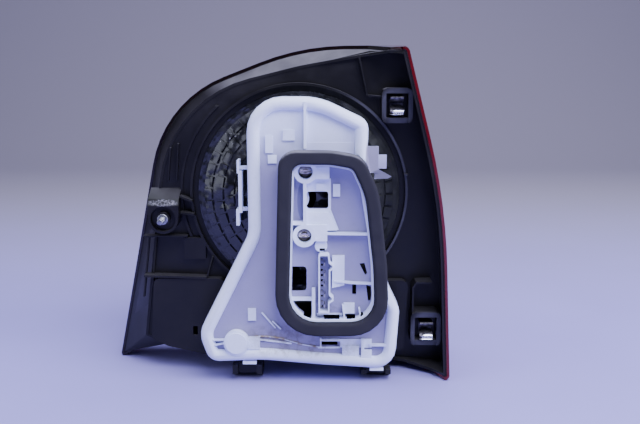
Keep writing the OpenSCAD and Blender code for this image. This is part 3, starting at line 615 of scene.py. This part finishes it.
def threaded_stud():
    """The side stud with a rolled thread: a ridge that climbs 1 mm a turn and fades at both ends.

    The profile runs from the tip along the shank, over the collar and along the neck to the foot."""
    low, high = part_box("side_stud")
    tip, foot = low[1], high[1]
    pitch, depth, soft = 0.001, 0.00055, 0.0003
    collar_r = (high[0] - low[0]) / 2
    shank_r = collar_r - 0.0022
    neck_r = shank_r - 0.0005
    collar_back = foot - 0.008
    collar_front = collar_back - 0.0025

    def thread(angles, level):
        ridge = 0.5 + 0.5 * np.cos(2 * np.pi * level / pitch - angles)
        from_tip = np.clip((level - tip - 0.001) / 0.0015, 0, 1)
        to_collar = np.clip((collar_front - 0.001 - level) / 0.0012, 0, 1)
        return depth * (ridge - 1) * from_tip * to_collar

    shank = [(shank_r - 0.0012, tip), (shank_r - 0.0004, tip + soft)]
    shank += [(shank_r, level) for level in np.linspace(tip + 0.0009, collar_front, 110)]
    collar = [
        (shank_r + soft, collar_front), (collar_r - soft, collar_front), (collar_r, collar_front + soft),
        (collar_r, collar_back - soft), (collar_r - soft, collar_back),
    ]
    neck = [(neck_r, collar_back), (neck_r, foot)]
    rows = lathe(shank + collar + neck, (STUD_X, STUD_Z), 40, thread)
    place("threaded_stud", closed_grid("threaded_stud", [(rows, True)]), "side_stud", 50)


def soft_line(path):
    """Smooth curve through the points of a path: between two points a cubic, whose slope at each is
    half the step from the point before it to the point after it."""
    steps = 8
    path = np.array(path)
    fine = np.linspace(0, len(path) - 1, steps * len(path))
    k = np.minimum(fine.astype(int), len(path) - 2)
    t = (fine - k)[:, None]
    padded = np.concatenate([2 * path[:1] - path[1:2], path, 2 * path[-1:] - path[-2:-1]])
    a, b, c, d = (padded[k + n] for n in range(4))
    return b + 0.5 * t * (c - a + t * (2 * a - 5 * b + 4 * c - d + t * (3 * (b - c) + d - a)))


def wavy_rail():
    """The stained rail low on the carrier's plate: a half circle, stretched outwards, with a flat foot
    sunk into the plate, carried along the smooth line through RAIL."""
    half, height, sunk = 0.0008, 0.0014, 0.0004
    line = soft_line(RAIL)
    way = np.gradient(line, axis=0)
    way /= np.linalg.norm(way, axis=1)[:, None]
    turn = np.radians(np.linspace(0, 180, 9))
    across = np.concatenate([half * np.cos(turn), [-half, half]])
    rise = np.concatenate([height * np.sin(turn), [-sunk, -sunk]])
    x = line[:, :1] + across * way[:, 1:]
    z = line[:, 1:] - across * way[:, :1]
    y = np.broadcast_to(PLATE_BACK - rise, x.shape)
    mesh = closed_grid("wavy_rail", [(np.stack([x, y, z], -1), True)])
    place("wavy_rail", mesh, "bulb_carrier", 50, instead=False)


def latch_tip():
    """The pointed tip under the fender-side latch: its outline repeated at three levels behind the
    plate's back."""
    outline = np.array(LATCH_TIP)
    levels = np.array([0.0006, 0.002, 0.0046])[:, None]
    x, z = np.broadcast_to(outline.T[:, None], (2, len(levels), len(outline)))
    y = np.broadcast_to(PLATE_BACK + levels, x.shape)
    mesh = closed_grid("latch_tip", [(np.stack([x, y, z], -1), True)])
    place("latch_tip", mesh, "bulb_carrier", 30, instead=False)


def bent_sheet(path, width, middle):
    """Sheet of a given width bent along a path of Y and Z, as one closed surface: half the sheet's
    thickness to each side of a smooth line, and ends that draw in by a quarter of an ellipse."""
    thickness, end_length, end_inset = 0.0007, 0.0025, 0.0022
    line = soft_line(path)
    way = np.gradient(line, axis=0)
    out = np.stack([-way[:, 1], way[:, 0]], -1) / np.linalg.norm(way, axis=1)[:, None]
    run = np.concatenate([[0], np.cumsum(np.linalg.norm(np.diff(line, axis=0), axis=1))])
    end = np.clip(np.minimum(run, run[-1] - run) / end_length, 0, 1)
    half = width / 2 - end_inset * (1 - np.sqrt(1 - (1 - end) ** 2))
    corner = np.array([(-1, -1), (1, -1), (1, 1), (-1, 1)])
    x = middle + corner[:, 0] * half[:, None]
    yz = line[:, None] + corner[:, 1][None, :, None] * out[:, None] * thickness / 2
    return np.concatenate([x[..., None], yz], -1)


def spring_clip(node):
    """A pin clip: a folded back with two legs whose ends roll inwards as tongues, and a turned-out lip.

    Each is a bent sheet along points of Y and Z, in millimetres from the clip's front and foot."""
    low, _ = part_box(node)
    start = np.array((low[1], low[2] + 0.002))
    upper_tongue = [(9.6, 9.6), (7.4, 10.0), (3.6, 11.6), (1.4, 13.4)]
    upper_leg = [(0.9, 14.9), (2.2, 15.5), (6, 15.5), (12, 15.5)]
    back = [(13.2, 14.9), (13.8, 13.6), (13.8, 8), (13.8, 2.4), (13.2, 1.1)]
    lower_leg = [(12, 0.5), (6, 0.5), (2.2, 0.5), (0.9, 1.1)]
    lower_tongue = [(1.4, 2.6), (3.6, 4.4), (7.4, 6.0), (9.6, 6.4)]
    lip = [(5.5, -0.4), (3, -0.5), (1.4, -0.9), (0.5, -1.7)]
    folded = upper_tongue + upper_leg + back + lower_leg + lower_tongue
    parts = [
        (bent_sheet(start + np.array(path) * 0.001, width, middle_of(node)[0]), True)
        for path, width in ((folded, 0.0125), (lip, 0.0145))
    ]
    place(node + "_spring", closed_grid(node + "_spring", parts), node, 40)


eased("bulb_carrier", 0.0006)
eased("housing", 0.0005)
eased("upper_reflector", 0.0007, 25)
for screw in SCREWS:
    eased(screw, 0.0003, 40)
foam_ring()
threaded_stud()
for clip in CLIPS:
    spring_clip(clip)
wavy_rail()
latch_tip()


# Floor and light

COOL = (0.76, 0.8, 1.0)
COOLER = (0.74, 0.79, 1.0)
DIM = (0.5, 0.53, 0.8)


def studio_sweep():
    """Pale floor that bends up far behind the lamp: a profile in Y and Z, flat, then an arc of 80
    degrees, then a straight rise, drawn out along X."""
    turn = np.radians(np.linspace(0, 80, 17))
    bend_r, start = 1.2, 1.6
    y = np.concatenate([[-3.0, -1.0, 0.5], start + bend_r * np.sin(turn), [start + bend_r * 1.2]])
    z = np.concatenate([[0.0, 0.0, 0.0], bend_r * (1 - np.cos(turn)), [4.0]])
    x = np.array([-5.0, 5.0])[:, None]
    points = np.stack(np.broadcast_arrays(x, y, z), -1).reshape(-1, 3)
    n = len(y)
    i = np.arange(n - 1)
    faces = np.stack([i, i + n, i + n + 1, i + 1], 1)
    mesh = bpy.data.meshes.new("floor")
    mesh.from_pydata(points.tolist(), [], faces.tolist())
    mesh.shade_smooth()
    floor = bpy.data.objects.new("floor", mesh)
    bpy.context.scene.collection.objects.link(floor)
    paint = Paint("pale_floor", specular_ior_level=0.2)
    cloud = paint.noise(7, 3)
    far = paint.axis("Y").step(0.0, 1.3)
    tone = paint.mix(far, paint.mix(cloud, (0.31, 0.27, 0.63), (0.345, 0.305, 0.69)), (0.4, 0.36, 0.45))
    coat(floor, paint.put(base_color=tone, roughness=0.7 + 0.1 * cloud))


def lamp(name, spot, target, size, power, colour):
    """Soft rectangular light at a spot, turned to its target, with its power in watts."""
    data = bpy.data.lights.new(name, "AREA")
    data.shape = "RECTANGLE"
    data.size, data.size_y = size
    data.energy = power
    data.color = colour
    light = bpy.data.objects.new(name, data)
    light.location = spot
    way = np.array(target) - np.array(spot)
    flat = math.hypot(way[0], way[1])
    light.rotation_euler = (math.atan2(flat, -way[2]), 0, math.atan2(way[1], way[0]) - math.pi / 2)
    bpy.context.scene.collection.objects.link(light)


studio_sweep()
lamp("key", (0.55, -0.95, 1.45), (0.0, 0.0, 0.12), (1.3, 1.0), 50, COOL)
lamp("sky", (-0.1, 0.15, 1.7), (0.0, 0.0, 0.1), (2.4, 1.4), 37, COOLER)
lamp("left_wall", (-1.5, -0.7, 0.7), (0.0, 0.0, 0.15), (1.0, 1.4), 12, COOL)
lamp("right_wall", (1.5, -0.6, 0.6), (0.1, 0.0, 0.15), (0.5, 1.2), 30, COOL)
world = bpy.data.worlds.new("studio")
world.use_nodes = True
background = world.node_tree.nodes["Background"]
background.inputs["Color"].default_value = (*DIM, 1)
background.inputs["Strength"].default_value = 0.28
bpy.context.scene.world = world
